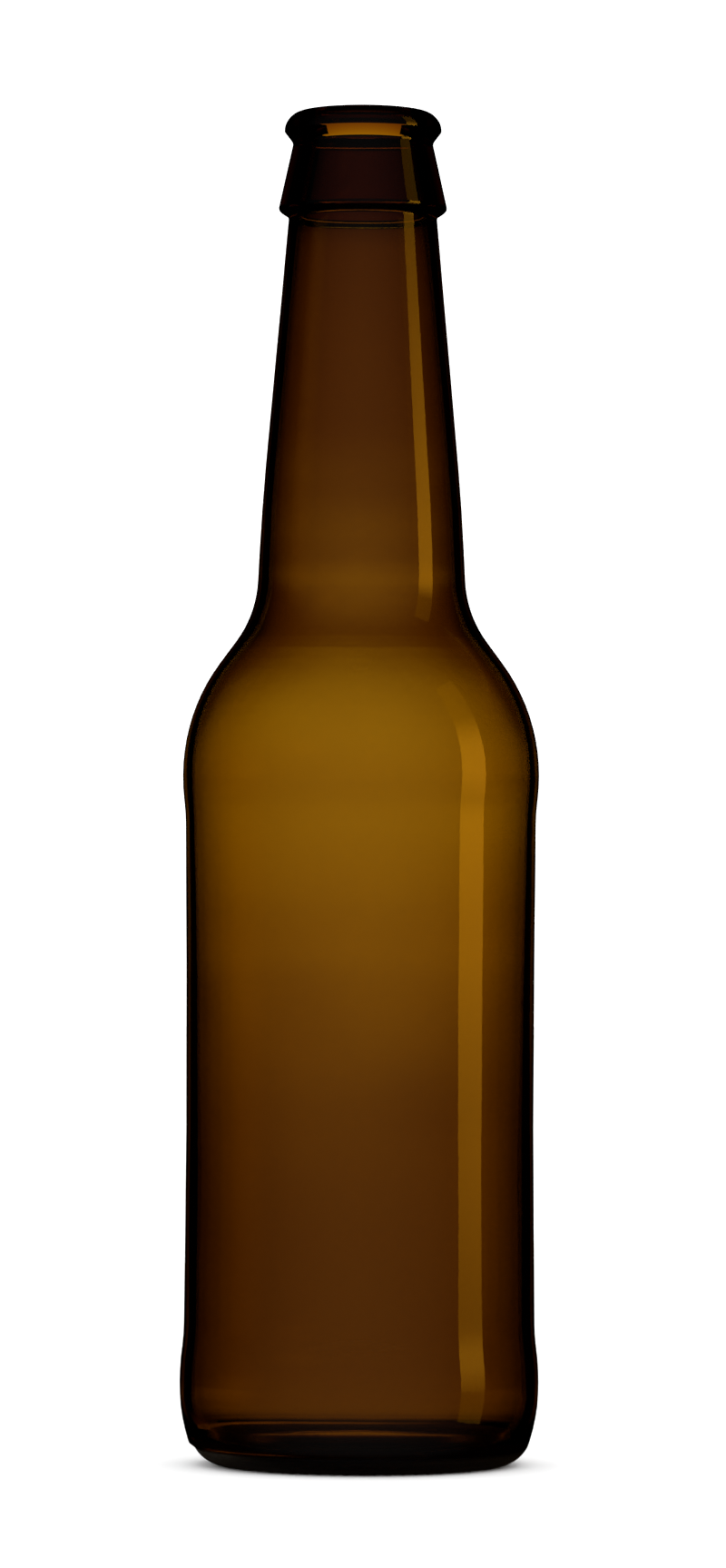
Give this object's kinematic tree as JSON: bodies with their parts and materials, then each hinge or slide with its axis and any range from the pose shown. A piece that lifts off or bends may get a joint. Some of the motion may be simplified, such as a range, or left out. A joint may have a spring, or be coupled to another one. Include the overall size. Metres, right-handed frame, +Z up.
{
  "type": "long-neck beer bottle",
  "caption": "Empty amber glass bottle with a straight body, sloping shoulder, long tapered neck and an open crown finish, for holding and pouring a drink.",
  "frame": {"origin": "centre of the ring that the bottle stands on", "axes": "+Z up along the bottle's axis, from the base to the mouth; -Y faces the camera of the picture"},
  "size_m": [0.061, 0.061, 0.23],
  "materials": {
    "amber_glass": "clear brown amber glass, fire-polished, with a slightly wavy wall and a knurled standing ring"
  },
  "bodies": {
    "root": {"bottle": "amber_glass"}
  },
  "joints": []
}
